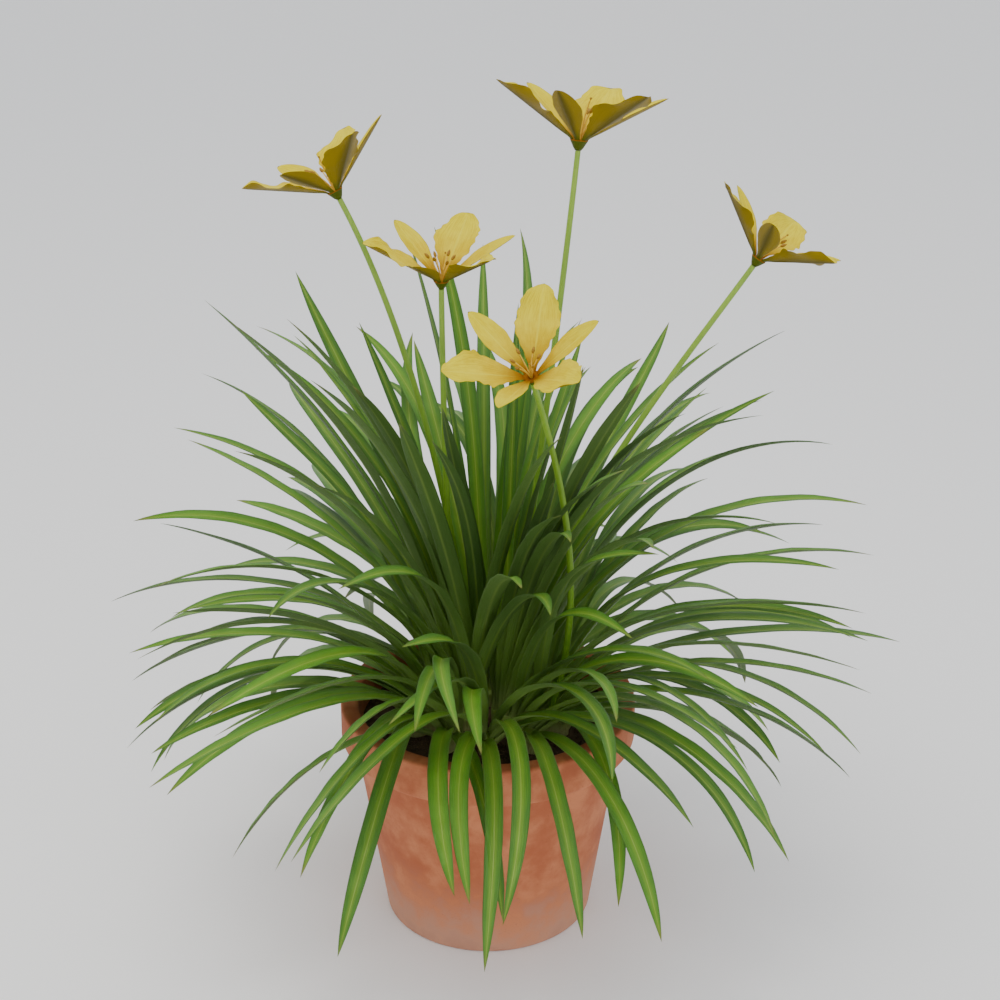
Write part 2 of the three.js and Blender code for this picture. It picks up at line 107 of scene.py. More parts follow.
camera_data = bpy.data.cameras.new("camera")
camera_data.lens = CAMERA["lens"]
camera_data.sensor_width = CAMERA["sensor"]
camera = bpy.data.objects.new("camera", camera_data)
tilt = math.radians(CAMERA["elevation"])
camera_away = Vector((0, -math.cos(tilt), math.sin(tilt))) * CAMERA["distance"]
camera.location = Vector(CAMERA["aim"]) + camera_away
camera.rotation_euler = (-camera_away).to_track_quat("-Z", "Y").to_euler()
bpy.context.scene.collection.objects.link(camera)
bpy.context.scene.camera = camera


# The pot: one piece of plain earthenware, thrown on a wheel and fired without a glaze. It has a thick rim
# and a flat foot, and its clay is mottled, with faint turning marks and a pale mineral bloom near the foot.
MM = 0.001
POT = {"height": 220, "foot_radius": 98, "rim_radius": 138, "rim_height": 40, "rim_step": 7, "rim_slope": 4,
       "wall": 9, "base": 11, "rounds": (0, 3, 1.5, 3, 3.2, 3, 6, 0), "sides": 144, "sharp_from": 50}


def pot_side(height):
    """The outer radius of the pot's side at a height above its foot."""
    share = height / POT["height"]
    return POT["foot_radius"] + (POT["rim_radius"] - POT["rim_step"] - POT["foot_radius"]) * share


def rounded(profile, radii, steps=4):
    """The profile with an arc-like curve in place of each corner that has a radius."""
    points = []
    for k, (place, radius) in enumerate(zip(profile, radii)):
        if not radius:
            points.append(place)
            continue
        corner, before, after = (
            np.array(p, float) for p in (place, profile[k - 1], profile[(k + 1) % len(profile)]))
        start = corner + (before - corner) / np.linalg.norm(before - corner) * radius
        end = corner + (after - corner) / np.linalg.norm(after - corner) * radius
        for t in np.linspace(0, 1, steps):
            points.append(tuple((1 - t) ** 2 * start + 2 * t * (1 - t) * corner + t * t * end))
    return points


def turned(name, profile, sides):
    """A solid of revolution in metres from (radius, height) pairs in millimetres, both ends on the axis."""
    rings = profile[1:-1]
    angles = [2 * math.pi * k / sides for k in range(sides)]
    corners = [(0.0, 0.0, profile[0][1]), (0.0, 0.0, profile[-1][1])]
    corners += [(radius * math.cos(angle), radius * math.sin(angle), height)
                for radius, height in rings for angle in angles]
    faces = []
    for k in range(sides):
        after = (k + 1) % sides
        faces.append((0, 2 + after, 2 + k))
        for ring in range(len(rings) - 1):
            low, high = 2 + ring * sides, 2 + (ring + 1) * sides
            faces.append((low + k, low + after, high + after, high + k))
        last = 2 + (len(rings) - 1) * sides
        faces.append((last + k, last + after, 1))
    mesh = bpy.data.meshes.new(name)
    mesh.from_pydata([tuple(c * MM for c in corner) for corner in corners], [], faces)
    return mesh


def pot_profile():
    under_rim = POT["height"] - POT["rim_height"]
    corners = [
        (0, 0), (POT["foot_radius"], 0), (pot_side(under_rim), under_rim),
        (POT["rim_radius"], under_rim + POT["rim_slope"]), (POT["rim_radius"], POT["height"]),
        (pot_side(POT["height"]) - POT["wall"], POT["height"]),
        (pot_side(POT["base"]) - POT["wall"], POT["base"]), (0, POT["base"])]
    return rounded(corners, POT["rounds"])


class Nodes:
    """Short ways to add nodes to a tree. A value is a number, a colour or the output of another node."""

    def __init__(self, tree):
        self.tree = tree

    def add(self, kind, values=None, **settings):
        """The outputs of a new node that has these settings, and these values at its inputs."""
        made = self.tree.nodes.new(kind)
        for name, value in settings.items():
            setattr(made, name, value)
        for key, value in (values or {}).items():
            if isinstance(value, bpy.types.NodeSocket):
                self.tree.links.new(value, made.inputs[key])
            else:
                made.inputs[key].default_value = value
        return made.outputs

    def calc(self, operation, *operands):
        return self.add("ShaderNodeMath", dict(enumerate(operands)), operation=operation)[0]

    def plus(self, first, second):
        return self.calc("ADD", first, second)

    def times(self, first, second):
        return self.calc("MULTIPLY", first, second)

    def noise(self, place, scale, detail, roughness=0.5):
        return self.add("ShaderNodeTexNoise", {
            "Vector": place, "Scale": scale, "Detail": detail, "Roughness": roughness})["Fac"]

    def ramp(self, value, low, high):
        """0 at low, 1 at high and smooth between them."""
        return self.add("ShaderNodeMapRange", {"Value": value, "From Min": low, "From Max": high},
                        interpolation_type="SMOOTHSTEP")["Result"]


def node_group(name, kind, inputs, outputs):
    """The nodes of a new group, and what its named inputs give."""
    tree = bpy.data.node_groups.new(name, kind)
    for way, sockets in (("INPUT", inputs), ("OUTPUT", outputs)):
        for socket, what in sockets.items():
            tree.interface.new_socket(socket, in_out=way, socket_type=f"NodeSocket{what}")
    nodes = Nodes(tree)
    return nodes, nodes.add("NodeGroupInput")


def mottle_group():
    """Soft blotches and fine grain. Shared by the clay, the soil and the plant."""
    nodes, given = node_group(
        "mottle_and_grain", "ShaderNodeTree",
        {"Place": "Vector", "Blotch Scale": "Float", "Grain Scale": "Float"},
        {"Blotches": "Float", "Grain": "Float"})
    blotches = nodes.noise(given["Place"], given["Blotch Scale"], 4.0, 0.6)
    grain = nodes.noise(given["Place"], given["Grain Scale"], 3.0, 0.65)
    nodes.add("NodeGroupOutput", {"Blotches": nodes.ramp(blotches, 0.35, 0.68), "Grain": grain})
    return nodes.tree


def streak_group():
    """Fine lines the way that a place is stretched least: turning marks, veins, fibres and sheaths."""
    nodes, given = node_group(
        "fine_streaks", "ShaderNodeTree",
        {"Place": "Vector", "Stretch": "Vector", "Scale": "Float", "Detail": "Float"}, {"Streaks": "Float"})
    stretched = nodes.add("ShaderNodeMapping", {"Vector": given["Place"], "Scale": given["Stretch"]})[0]
    nodes.add("NodeGroupOutput", {"Streaks": nodes.noise(stretched, given["Scale"], given["Detail"])})
    return nodes.tree


MOTTLE = mottle_group()
STREAKS = streak_group()


class Finish(Nodes):
    """The nodes of a material, which start from the place on its piece."""

    def __init__(self, name, colour, roughness):
        self.material = plain_finish(name, colour, roughness)
        super().__init__(self.material.node_tree)
        self.shader = self.tree.nodes["Principled BSDF"]
        self.place = self.add("ShaderNodeTexCoord")["Object"]

    def mottle(self, blotch_scale, grain_scale):
        made = self.add("ShaderNodeGroup", {
            "Place": self.place, "Blotch Scale": blotch_scale, "Grain Scale": grain_scale}, node_tree=MOTTLE)
        return made["Blotches"], made["Grain"]

    def streaks(self, place, stretch, scale=1.0, detail=3.0):
        return self.add("ShaderNodeGroup", {
            "Place": place, "Stretch": stretch, "Scale": scale, "Detail": detail}, node_tree=STREAKS)[0]

    def blend(self, share, first, second):
        """A share of the second colour with the first. Either may be the output of another node."""
        first, second = (paint(colour) if isinstance(colour, str) else colour for colour in (first, second))
        return self.add("ShaderNodeMix", {0: share, 6: first, 7: second}, data_type="RGBA")[2]

    def layered(self, under, *layers):
        """A colour with others laid over it in turn, each where its mask is and as strongly as it says."""
        for mask, strength, colour in layers:
            under = self.blend(self.times(mask, strength), under, colour)
        return under

    def coat(self, colour, relief, strength, depth):
        """Gives the surface its colour, and its relief as a bump with a depth in metres."""
        bump = self.add("ShaderNodeBump", {"Height": relief, "Strength": strength, "Distance": depth})
        self.tree.links.new(colour, self.shader.inputs["Base Color"])
        self.tree.links.new(bump["Normal"], self.shader.inputs["Normal"])


clay = Finish("unglazed_clay", "#b5673f", 0.85)
clay_blotches, clay_grain = clay.mottle(26.0, 900.0)
turning_marks = clay.streaks(clay.place, (3.0, 3.0, 420.0))
clay_height = clay.add("ShaderNodeSeparateXYZ", {"Vector": clay.place})["Z"]
bloom_edge = clay.plus(clay_height, clay.times(clay_blotches, 0.05))
clay_colour = clay.layered(
    clay.blend(clay_blotches, "#a95a35", "#c67a50"),
    (clay.ramp(clay_grain, 0.6, 0.75), 1.0, "#8f4a2c"),
    (clay.ramp(bloom_edge, 0.1, 0.02), 0.3, "#dcc4ae"))
clay.coat(clay_colour, clay.plus(clay.times(turning_marks, 0.6), clay_grain), 0.35, 0.0006)

pot = piece("clay_pot", turned("clay_pot", pot_profile(), POT["sides"]), clay.material)
pot.data.set_sharp_from_angle(angle=math.radians(POT["sharp_from"]))
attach(pot, "root")
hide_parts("pot")


# The soil: a moist potting mix of peat and fine bark that fills the pot and mounds a little towards the
# crown. Its face is uneven, with loose crumbs and shreds of bark lying on it.
SOIL = {"level": 196, "mound": 6, "gap": 0.3, "foot_gap": 1.3, "sides": 144, "rings": 46, "unevenness": 1.3,
        "edge_fade": 12}
CRUMBS = {"per_square_metre": 15000.0, "smallest": 0.0008, "largest": 0.0036, "few_large": 2.2, "seed": 11,
          "least_rise": 0.8, "flattest": (0.6, 0.45, 0.4), "fullest": (1.5, 0.9, 0.8), "turn": 3.1}


def soil_profile():
    edge = pot_side(SOIL["level"]) - POT["wall"] - SOIL["gap"]
    floor = POT["base"] + SOIL["gap"]
    top = [(edge * share, SOIL["level"] + SOIL["mound"] * (1 - share))
           for share in np.linspace(1, 0, SOIL["rings"])]
    return [(0, floor), (pot_side(floor) - POT["wall"] - SOIL["foot_gap"], floor), *top]


def soil_lumps(x, y):
    """How high the soil stands at a place: low swells about 7 cm apart and lumps about 3 cm apart."""
    return math.sin(95 * x + 2) * math.cos(83 * y) + 0.6 * (
        math.sin(210 * x - 130 * y) * math.cos(170 * y + 1))


def geometry_group(name, inputs):
    inputs = {"Geometry": "Geometry", **inputs, "Material": "Material"}
    return node_group(name, "GeometryNodeTree", inputs, {"Geometry": "Geometry"})


def ended(nodes, given, shape):
    """The tree, closed by turning what it has made into real mesh in the material given."""
    real = nodes.add("GeometryNodeRealizeInstances", {0: shape})[0]
    finished = nodes.add("GeometryNodeSetMaterial", {"Geometry": real, "Material": given["Material"]})[0]
    nodes.add("NodeGroupOutput", {0: finished})
    return nodes.tree


def crumb_tree():
    """Crumbs of many sizes scattered over the upward faces of a mesh, each turned its own way."""
    nodes, given = geometry_group("scattered_crumbs", {
        "Density": "Float", "Smallest": "Float", "Largest": "Float", "Seed": "Int"})

    def drawn_triple(low, high, seed_step):
        seed = nodes.plus(given["Seed"], seed_step)
        return nodes.add("FunctionNodeRandomValue", {0: low, 1: high, "Seed": seed},
                         data_type="FLOAT_VECTOR")[0]

    rise = nodes.add("ShaderNodeSeparateXYZ", {0: nodes.add("GeometryNodeInputNormal")[0]})["Z"]
    upward = nodes.add("FunctionNodeCompare", {0: rise, 1: CRUMBS["least_rise"]}, operation="GREATER_THAN")
    scattered = nodes.add("GeometryNodeDistributePointsOnFaces", {
        "Mesh": given["Geometry"], "Selection": upward[0], "Density": given["Density"],
        "Seed": given["Seed"]})
    drawn = nodes.add("FunctionNodeRandomValue", {"Seed": given["Seed"]}, data_type="FLOAT")["Value"]
    range_of_sizes = nodes.calc("SUBTRACT", given["Largest"], given["Smallest"])
    size = nodes.plus(given["Smallest"], nodes.times(
        nodes.calc("POWER", drawn, CRUMBS["few_large"]), range_of_sizes))
    shape = drawn_triple(CRUMBS["flattest"], CRUMBS["fullest"], 1)
    sized = nodes.add("ShaderNodeVectorMath", {0: shape, "Scale": size}, operation="SCALE")
    spin = drawn_triple((-CRUMBS["turn"],) * 3, (CRUMBS["turn"],) * 3, 2)
    crumb = nodes.add("GeometryNodeMeshIcoSphere", {"Radius": 1.0, "Subdivisions": 1})
    placed = nodes.add("GeometryNodeInstanceOnPoints", {
        "Points": scattered["Points"], "Instance": crumb["Mesh"],
        "Rotation": nodes.add("FunctionNodeEulerToRotation", {0: spin})[0], "Scale": sized[0]})
    return ended(nodes, given, placed[0])


def grown_by(source, tree, values):
    """The plain mesh that a node tree with named inputs makes of a piece. The modifier is removed."""
    modifier = source.modifiers.new("shape", "NODES")
    modifier.node_group = tree
    for item in tree.interface.items_tree:
        if item.in_out == "INPUT" and item.name in values:
            modifier[item.identifier] = values[item.name]
    graph = bpy.context.evaluated_depsgraph_get()
    mesh = bpy.data.meshes.new_from_object(
        source.evaluated_get(graph), preserve_all_data_layers=True, depsgraph=graph)
    source.modifiers.clear()
    mesh.materials.clear()
    mesh.materials.append(values["Material"])
    mesh.polygons.foreach_set("material_index", [0] * len(mesh.polygons))
    return mesh


peat = Finish("potting_mix", "#3a2a1e", 0.95)
peat_blotches, peat_grain = peat.mottle(60.0, 700.0)
peat_colour = peat.layered(
    peat.blend(peat_blotches, "#382619", "#5c4430"), (peat.ramp(peat_grain, 0.52, 0.7), 1.0, "#7d6146"))
peat.coat(peat_colour, peat_grain, 0.8, 0.0015)

soil = piece("potting_soil", turned("potting_soil", soil_profile(), SOIL["sides"]), peat.material)
soil_edge = (pot_side(SOIL["level"]) - POT["wall"]) * MM
for vertex in soil.data.vertices:
    x, y, z = vertex.co
    if z > SOIL["level"] / 2 * MM:
        inwards = min(1.0, (soil_edge - math.hypot(x, y)) / (SOIL["edge_fade"] * MM))
        vertex.co.z += SOIL["unevenness"] * MM * soil_lumps(x, y) * inwards
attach(soil, "root")
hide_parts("soil")

crumbs = piece("soil_crumbs", soil.data.copy())
crumbs.data = grown_by(crumbs, crumb_tree(), {
    "Density": CRUMBS["per_square_metre"], "Smallest": CRUMBS["smallest"], "Largest": CRUMBS["largest"],
    "Seed": CRUMBS["seed"], "Material": peat.material})
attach(crumbs, "root")


# The flower stems (scapes): slender, bare, round stalks that rise from among the leaves and swell into the
# base of a bloom. They are smooth yellow-green, paler near the bloom, with fine lengthwise streaks.
CROWN_LEVEL = SOIL["level"] + SOIL["mound"]
SCAPE = {"root_radius": 3.4, "top_radius": 2.4, "neck": 110, "in_soil": (-24.0, -8.0), "steps": 60,
         "corners": 16, "kept_clear": 101}
SCAPES = [
    {"root": (-16, 22), "rise": (-22, 24, 190), "top": (-126, 20, 492), "lean": (-28, 8), "size": 1.0},
    {"root": (-26, -8), "rise": (-36, -22, 150), "top": (-38, -42, 432), "lean": (0, -4), "size": 0.95},
    {"root": (16, 22), "rise": (42, 26, 190), "top": (78, 36, 530), "lean": (6, 11), "size": 1.12},
    {"root": (48, -42), "rise": (100, -46, 130), "top": (38, -138, 384), "lean": (-14, -27), "size": 0.97},
    {"root": (26, -8), "rise": (30, -14, 170), "top": (228, -4, 440), "lean": (34, 5), "size": 0.97},
]


def bloom_axis(lean):
    axis = np.array([math.tan(math.radians(lean[0])), math.tan(math.radians(lean[1])), 1.0])
    return axis / np.linalg.norm(axis)


def scape_curve(scape, shares):
    """Points of the stem and the directions along it, in millimetres from the top of the soil's mound."""
    top = np.array(scape["top"], float)
    poles = [np.array([*scape["root"], 0.0]), np.array(scape["rise"], float),
             top - bloom_axis(scape["lean"]) * SCAPE["neck"], top]
    t = np.asarray(shares, float)[:, None]
    weights = [(1 - t) ** 3, 3 * t * (1 - t) ** 2, 3 * t * t * (1 - t), t ** 3]
    slopes = [-3 * (1 - t) ** 2, 3 * (1 - t) ** 2 - 6 * t * (1 - t), 6 * t * (1 - t) - 3 * t * t, 3 * t * t]
    points = sum(w * p for w, p in zip(weights, poles))
    along = sum(w * p for w, p in zip(slopes, poles))
    return points, along / np.linalg.norm(along, axis=1)[:, None]


def sweep_tree():
    """Sweeps a closed section along each line of a mesh. The section's place, width, depth and crease at
    each point of the line come from the line's own attributes, so a stalk, a thread and a folded leaf are
    all made alike. The swept skin keeps where it is: along and across the piece and above or below it."""
    nodes, given = geometry_group("swept_along_its_line", {
        "Corners": "Int", "Ripple": "Float", "Ripples": "Float"})

    def named(name, kind="FLOAT"):
        return nodes.add("GeometryNodeInputNamedAttribute", {"Name": name}, data_type=kind)["Attribute"]

    def stored(geometry, name, value, kind="FLOAT"):
        return nodes.add("GeometryNodeStoreNamedAttribute", {
            "Geometry": geometry, "Name": name, "Value": value}, data_type=kind, domain="POINT")[0]

    def stretch(name, factor):
        return nodes.add("ShaderNodeVectorMath", {
            0: named(name, "FLOAT_VECTOR"), "Scale": factor}, operation="SCALE")[0]

    def total(first, second):
        return nodes.add("ShaderNodeVectorMath", {0: first, 1: second}, operation="ADD")[0]

    position = nodes.add("GeometryNodeInputPosition")[0]
    line = stored(given["Geometry"], "line", position, "FLOAT_VECTOR")
    curve = nodes.add("GeometryNodeMeshToCurve", {"Mesh": line})[0]
    section = nodes.add("GeometryNodeCurvePrimitiveCircle", {
        "Resolution": given["Corners"], "Radius": 1.0}, mode="RADIUS")["Curve"]
    round_place = nodes.add("ShaderNodeSeparateXYZ", {0: position})
    section = stored(section, "across", round_place["X"])
    section = stored(section, "above", round_place["Y"])
    skin = nodes.add("GeometryNodeCurveToMesh", {
        "Curve": curve, "Profile Curve": section, "Fill Caps": True})[0]
    # Each line's tone sets how close its ripples are and where they start, so that no two are alike.
    wide, tone, across = named("wide"), named("tone"), named("across")
    off_middle = nodes.calc("ABSOLUTE", across)
    beats = nodes.times(nodes.times(named("along"), given["Ripples"]), nodes.plus(0.7, tone))
    beat = nodes.calc("SINE", nodes.plus(beats, nodes.times(tone, 40.0)))
    ripple = nodes.times(nodes.times(beat, given["Ripple"]), nodes.times(
        wide, nodes.calc("POWER", off_middle, 2.0)))
    lift = nodes.plus(nodes.times(named("crease"), off_middle), nodes.plus(
        ripple, nodes.times(named("deep"), named("above"))))
    place = total(named("line", "FLOAT_VECTOR"), total(
        stretch("side", nodes.times(wide, across)), stretch("face", lift)))
    shaped = nodes.add("GeometryNodeSetPosition", {"Geometry": skin, "Position": place})[0]
    closed = nodes.add("GeometryNodeMergeByDistance", {"Geometry": shaped, "Distance": 2 * WELD})[0]
    return ended(nodes, given, closed)


WELD = 0.000002
SWEEP = sweep_tree()


def swept(name, lines, material, corners, ripple=0.0, ripples=0.0):
    """A piece swept along lines. A line is a dict of points, side and face directions, and the widths,
    depths, creases, shares along and tones of its points, in millimetres above the soil's mound."""
    counts = [len(line["points"]) for line in lines]
    starts = np.cumsum([0, *counts[:-1]])
    mesh = bpy.data.meshes.new(name)
    points = (np.concatenate([line["points"] for line in lines]) + (0, 0, CROWN_LEVEL)) * MM
    edges = [(s + k, s + k + 1) for s, n in zip(starts.tolist(), counts) for k in range(n - 1)]
    mesh.from_pydata(points.tolist(), edges, [])
    for key in ("side", "face"):
        values = np.concatenate([np.broadcast_to(line[key], (n, 3)) for line, n in zip(lines, counts)])
        mesh.attributes.new(key, "FLOAT_VECTOR", "POINT").data.foreach_set("vector", values.ravel())
    for key, scale in (("wide", MM), ("deep", MM), ("crease", MM), ("along", 1), ("tone", 1)):
        values = np.concatenate([np.broadcast_to(line[key], (n,)) for line, n in zip(lines, counts)])
        mesh.attributes.new(key, "FLOAT", "POINT").data.foreach_set("value", values.astype(float) * scale)
    made = piece(name, mesh)
    made.data = grown_by(made, SWEEP, {
        "Corners": corners, "Ripple": ripple, "Ripples": ripples, "Material": material})
    made.data.polygons.foreach_set("use_smooth", [True] * len(made.data.polygons))
    return made


def attribute(finish, name):
    return finish.add("ShaderNodeAttribute", attribute_name=name)["Fac"]


stalk = Finish("stalk_skin", "#86a84a", 0.42)
stalk_streaks = stalk.streaks(stalk.place, (900, 900, 14), detail=2.0)
stalk_blotches, _ = stalk.mottle(45.0, 1200.0)
stalk_colour = stalk.layered(
    stalk.blend(attribute(stalk, "along"), "#4c7c1c", "#8fb034"),
    (stalk.ramp(stalk_streaks, 0.45, 0.65), 1.0, "#7ca42c"),
    (stalk_blotches, 0.25, "#5a7a20"))
stalk.coat(stalk_colour, stalk_streaks, 0.25, 0.0004)

for number, scape in enumerate(SCAPES):
    shares = np.linspace(0, 1, SCAPE["steps"] + 1)
    points, along = scape_curve(scape, shares)
    side = np.cross((0.0, 1.0, 0.0), along)
    side /= np.linalg.norm(side, axis=1)[:, None]
    radius = SCAPE["root_radius"] + (SCAPE["top_radius"] - SCAPE["root_radius"]) * shares
    radii = np.concatenate([radius[:1], radius[:1], radius])
    stem = swept(f"scape_{number + 1}_stalk", [{
        "points": np.concatenate([[[*scape["root"], depth] for depth in SCAPE["in_soil"]], points]),
        "side": np.concatenate([[[1.0, 0.0, 0.0]] * 2, side]),
        "face": np.concatenate([[[0.0, 1.0, 0.0]] * 2, np.cross(along, side)]),
        "wide": radii, "deep": radii, "crease": 0.0,
        "along": np.concatenate([[0.0, 0.0], shares]), "tone": 0.5,
    }], stalk.material, SCAPE["corners"])
    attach(stem, "root")
    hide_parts(f"scape_{number + 1}")


# The blooms: each opens from a short green-gold throat into three wide petals with ruffled edges and,
# between and under them, three narrow sepals. The flesh is thin, yellow and veined, with a paler rib; its
# backs are painted a darker olive as shade, being the side turned from the light. All are grown as one
# with the throat.
BLOOM = {"first_petal": 70, "throat_radius": 7.2, "throat_sides": 32, "tepal_root": (3.4, 3),
         "thickness": 1.2, "thin_edge": (1.15, 0.12), "thin_tip": (0.45, 14), "middle": 30,
         "clear_radius": 84, "throat": 68, "open": 31, "opens_by": 0.16, "strides": 24, "above_stem": 0.3}
PETAL = {"length": 80, "half_width": 20, "claw": 0.1, "cup": 0.3, "ruffle": 3.2, "waves": 2, "rows": 44,
         "columns": 28, "crimp": 1.5, "crimps": 6.5, "rib": 0.6, "frill": 0.045, "tip": (2.0, 0.6)}
SEPAL = {"length": 77, "half_width": 11, "claw": 0.16, "cup": 0.34, "ruffle": 0, "waves": 0, "rows": 40,
         "columns": 16, "crimp": 0.25, "crimps": 4.0, "rib": 0.4, "frill": 0.015, "tip": (1.9, 0.66)}


def smooth_step(x, low, high):
    t = np.clip((x - low) / (high - low), 0, 1)
    return t * t * (3 - 2 * t)


def about_axis(azimuth):
    """Outwards at an azimuth, across from that, and upwards. Points times these rows are turned so."""
    turn = math.radians(azimuth)
    return np.array([[math.cos(turn), math.sin(turn), 0], [-math.sin(turn), math.cos(turn), 0], [0, 0, 1]])


def tepal_width(share, tepal):
    """How wide a petal or sepal is at a share of its length, against its widest."""
    blade = tepal["claw"] + (1 - tepal["claw"]) * smooth_step(share, 0, 0.6)
    past = np.clip((share - 0.55) / 0.45, 0, 1)
    return blade * (1 - past ** tepal["tip"][0]) ** tepal["tip"][1]


def tepal_climb(share):
    turn = smooth_step(share, 0, BLOOM["opens_by"])
    return np.radians(BLOOM["throat"] + (BLOOM["open"] - BLOOM["throat"]) * turn)


def tepal_sheet(tepal, phase):
    """Places and normals of a petal's or sepal's middle sheet, row by row from the throat to the tip."""
    shares = np.linspace(0, 1, tepal["rows"] + 1)
    steps = (np.arange(BLOOM["strides"]) + 0.5) / BLOOM["strides"]
    climbs = tepal_climb(steps[None, :] * shares[:, None])
    stride = (tepal["length"] * shares / BLOOM["strides"])[:, None]
    out = BLOOM["tepal_root"][0] + (np.cos(climbs) * stride).sum(axis=1)
    up = BLOOM["tepal_root"][1] + (np.sin(climbs) * stride).sum(axis=1)
    across = np.linspace(-1, 1, tepal["columns"] + 1)[None, :]
    share, off_rib = shares[:, None], np.abs(across)
    half = tepal["half_width"] * tepal_width(share, tepal)
    wave = np.sin(2 * math.pi * tepal["waves"] * share + phase)
    waved = smooth_step(share, 0.3, 0.6) * (1 - smooth_step(share, 0.88, 1))
    lift = tepal["cup"] * half * off_rib ** 1.4 + tepal["ruffle"] * wave * off_rib ** 3 * waved
    beat = np.sin(2 * math.pi * tepal["crimps"] * share + 1.7 * phase + across)
    lift = lift + tepal["crimp"] * beat * off_rib ** 6 * smooth_step(share, 0.25, 0.45) * (1 - share)
    groove = tepal["rib"] * np.exp(-(across / 0.07) ** 2)
    lift = lift - groove * smooth_step(share, 0.05, 0.25) * (1 - share)
    climb = tepal_climb(share)
    normal = np.concatenate([-np.sin(climb), np.zeros_like(climb), np.cos(climb)], axis=1)
    middle = np.stack([out, np.zeros_like(out), up], axis=1)
    places = middle[:, None, :] + normal[:, None, :] * lift[:, :, None]
    frill = 1 + tepal["frill"] * np.sin(2 * math.pi * 1.3 * tepal["crimps"] * share - phase) * across ** 6
    places[:, :, 1] += across * half * frill
    return places, normal[:, None, :], across


def tepal_part(tepal, phase, azimuth):
    """One petal or sepal as corners, faces and what the finish needs to know of each corner."""
    rows, columns = tepal["rows"], tepal["columns"]
    places, normals, across = tepal_sheet(tepal, phase)
    shares = np.linspace(0, 1, rows + 1)
    share = shares[:, None, None]
    (full, least), (loss, ending) = BLOOM["thin_edge"], BLOOM["thin_tip"]
    thick = BLOOM["thickness"] * 0.5 * np.clip(full - np.abs(across) ** 3, least, 1)[:, :, None]
    thick = thick * (1 - loss * share) * np.minimum(1, ending * (1 - share))
    index = np.arange((rows + 1) * (columns + 1)).reshape(rows + 1, columns + 1)
    count = index.size
    faces = []
    for row in range(rows):
        for k in range(columns):
            a, b, c, d = index[row, k], index[row + 1, k], index[row + 1, k + 1], index[row, k + 1]
            faces += [(a, b, c, d), (a + count, d + count, c + count, b + count)]
        (a, b), (d, c) = index[row:row + 2, 0], index[row:row + 2, -1]
        faces += [(a, a + count, b + count, b), (d, c, c + count, d + count)]
    faces += [(a, d, d + count, a + count) for a, d in zip(index[0], index[0, 1:])]
    sheets = [places + normals * thick, places - normals * thick]
    corners = np.concatenate([sheet.reshape(-1, 3) for sheet in sheets]) @ about_axis(azimuth)
    facts = {"along": np.tile(np.repeat(shares, columns + 1), 2),
             "across": np.tile(np.tile(across.ravel(), rows + 1), 2),
             "above": np.repeat([1.0, -1.0], count), "tone": np.full(2 * count, (phase * 0.37) % 1)}
    return corners, faces, facts


def throat_part():
    """The short cup that joins the petals to the stem's end, with the dimple that holds the stamens. Its lip
    and its dimple have the petals' yellow, and its outside has the darker olive painted on their backs as
    shade."""
    lip = BLOOM["throat_radius"]
    mesh = turned("throat", [
        (0, 0), (SCAPE["top_radius"], 0), (4.0, 2.2), (lip - 0.8, 6.6), (lip, 8), (lip - 1.6, 8.4),
        (2.6, 7.6), (2.2, 5.2), (0, 5)], BLOOM["throat_sides"])
    corners = np.array([vertex.co for vertex in mesh.vertices]) / MM
    faces = [tuple(face.vertices) for face in mesh.polygons]
    bpy.data.meshes.remove(mesh)
    full = np.ones(len(corners))
    height, radius = corners[:, 2], np.hypot(corners[:, 0], corners[:, 1])
    inside = (height > 7.2) | ((height > 4) & (radius < 3))
    return corners, faces, {
        "along": 0 * full, "across": 0.5 * full, "above": 2.0 * inside - 1, "tone": 0.5 * full}


def bloom_frame(scape):
    """The three directions of a bloom's own frame, turned from upright to its axis the shortest way."""
    turn = Vector((0, 0, 1)).rotation_difference(Vector(bloom_axis(scape["lean"])))
    return np.array(turn.to_matrix())


def on_stem(scape, points):
    """From a bloom's own frame to the plant's, in millimetres, a little past the stem's end."""
    base = np.array(scape["top"], float) + bloom_axis(scape["lean"]) * BLOOM["above_stem"]
    return (np.asarray(points) * scape["size"]) @ bloom_frame(scape).T + base


def assembled(name, parts, material):
    """One mesh from parts of corners, faces and facts, in metres, with the facts as attributes."""
    starts = np.cumsum([0, *[len(part[0]) for part in parts[:-1]]])
    corners = (np.concatenate([part[0] for part in parts]) + (0, 0, CROWN_LEVEL)) * MM
    faces = [tuple(int(i + start) for i in face) for part, start in zip(parts, starts) for face in part[1]]
    mesh = bpy.data.meshes.new(name)
    mesh.from_pydata(corners.tolist(), [], faces)
    for key in parts[0][2]:
        values = np.concatenate([part[2][key] for part in parts])
        mesh.attributes.new(key, "FLOAT", "POINT").data.foreach_set("value", values)
    shape = bmesh.new()
    shape.from_mesh(mesh)
    bmesh.ops.remove_doubles(shape, verts=shape.verts, dist=WELD)
    shape.to_mesh(mesh)
    shape.free()
    return piece(name, mesh, material)


def skin_facts(finish):
    return [attribute(finish, name) for name in ("along", "across", "above", "tone")]


def veins(finish, across, along, tone, stretch, scale):
    """Fine lines from end to end of a petal or a leaf, laid out anew for each tone."""
    place = finish.add("ShaderNodeCombineXYZ", {"X": across, "Y": along, "Z": tone})["Vector"]
    return finish.streaks(place, stretch, scale)


